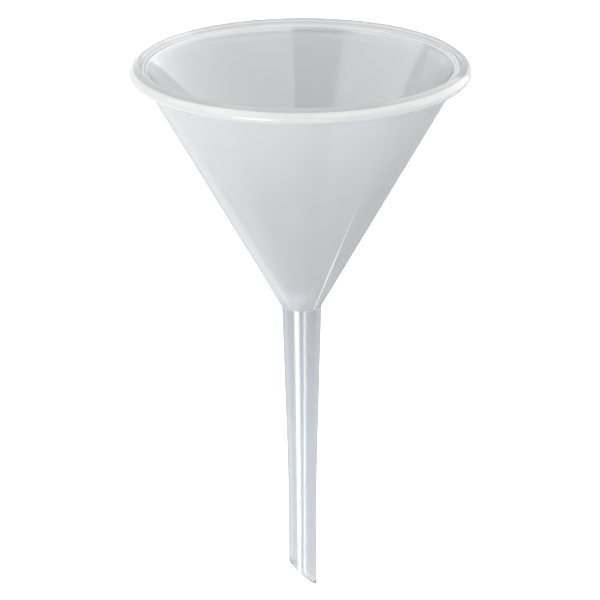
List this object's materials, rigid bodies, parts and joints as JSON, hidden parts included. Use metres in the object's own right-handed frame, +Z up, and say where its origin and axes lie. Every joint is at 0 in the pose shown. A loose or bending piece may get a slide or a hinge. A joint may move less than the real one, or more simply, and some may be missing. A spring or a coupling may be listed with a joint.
{
  "type": "laboratory funnel",
  "caption": "Translucent plastic laboratory funnel with a 60 degree cone, a rolled rim and a long tapered stem cut off at a slant.",
  "frame": {"origin": "on the axis of the cone and stem, level with the lowest point of the stem's slanted tip", "axes": "+Z up along the axis, from the stem's tip to the rim; +X towards the long, low side of the slanted tip"},
  "size_m": [0.1, 0.1, 0.1608],
  "materials": {
    "polypropylene": "satin, milky translucent natural polypropylene"
  },
  "bodies": {
    "root": {"rim": "polypropylene", "cone": "polypropylene", "stem": "polypropylene", "air_rib_1": "polypropylene", "air_rib_2": "polypropylene", "air_rib_3": "polypropylene"}
  },
  "joints": []
}
